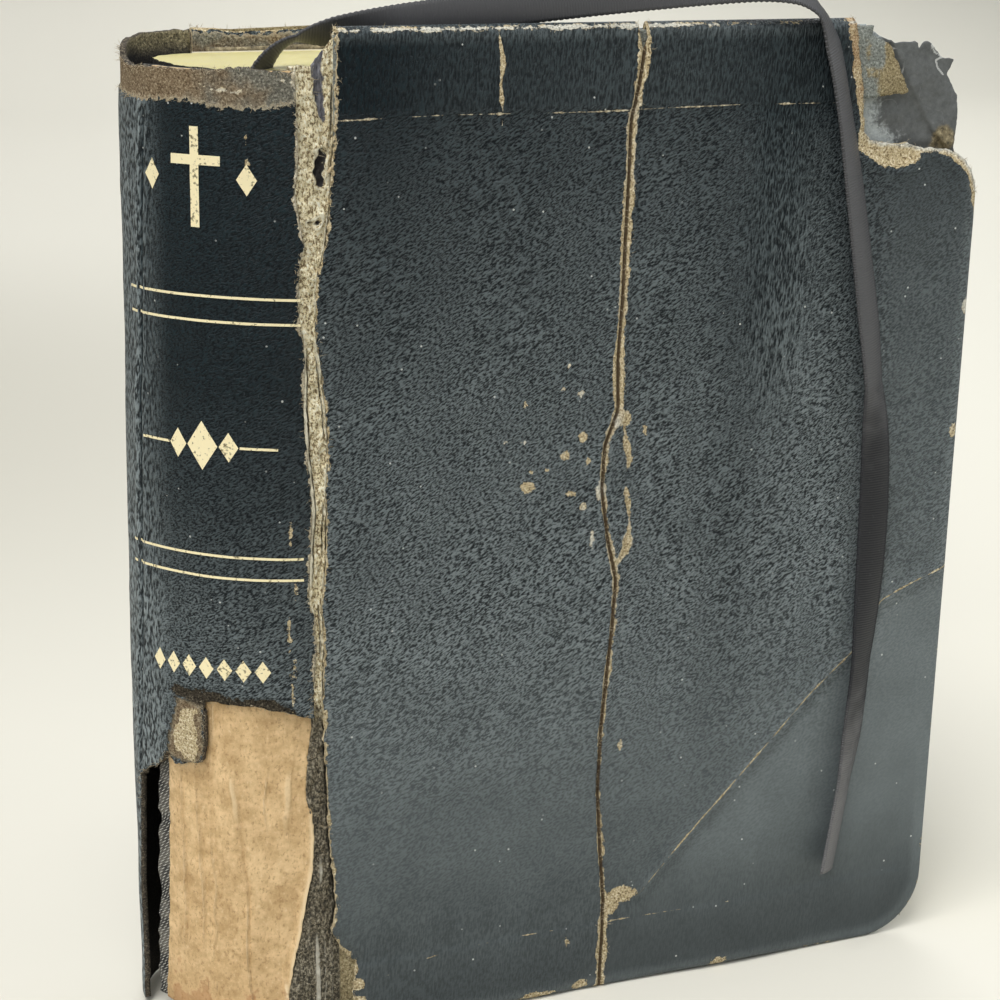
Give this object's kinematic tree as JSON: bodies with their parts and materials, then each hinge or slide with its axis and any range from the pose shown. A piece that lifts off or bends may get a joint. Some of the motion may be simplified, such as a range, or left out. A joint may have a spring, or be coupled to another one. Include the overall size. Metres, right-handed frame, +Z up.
{
  "type": "leather-bound bible",
  "caption": "Worn limp leather-bound bible standing closed, with a round leaning spine, gilt pages, a torn front joint, hinged covers and a ribbon marker.",
  "frame": {"origin": "under the middle of the book's plan, on the surface that the covers' tail edges stand on", "axes": "+Z up from tail to head; +X from the spine to the fore-edge; the front cover faces -Y"},
  "size_m": [0.1426, 0.0375, 0.178],
  "materials": {
    "gilt_pages": "thin paper with worn gilt edges",
    "flyleaf_paper": "uncoated cream paper",
    "mull_cloth": "open-weave cotton, glue-stained",
    "kraft_paper": "wrinkled brown kraft",
    "black_leather": "pebbled, semi-gloss, worn",
    "bare_leather": "bare fibrous core",
    "cover_board": "flexible grey-brown board",
    "lining_paper": "dark embossed lining paper",
    "ribbon": "black satin"
  },
  "bodies": {
    "book_block": {"text_block": "gilt_pages", "front_flyleaf": "flyleaf_paper", "back_flyleaf": "flyleaf_paper", "spine_cloth": "mull_cloth", "spine_paper": "kraft_paper", "spine_leather": "black_leather", "front_joint": "bare_leather"},
    "front_cover": {"front_leather": "black_leather", "front_board": "cover_board", "front_lining": "lining_paper", "ribbon_marker": "ribbon"},
    "back_cover": {"back_leather": "black_leather", "back_board": "cover_board", "back_lining": "lining_paper"}
  },
  "joints": [
    {"name": "front_cover_hinge", "type": "hinge", "parent": "book_block", "child": "front_cover", "pos_m": [-0.04523, -0.01825, 0.085], "axis": [0, 0, -1], "range_deg": [0, 178]},
    {"name": "back_cover_hinge", "type": "hinge", "parent": "book_block", "child": "back_cover", "pos_m": [-0.05677, 0.01825, 0.085], "axis": [0, 0, 1], "range_deg": [0, 178]}
  ]
}
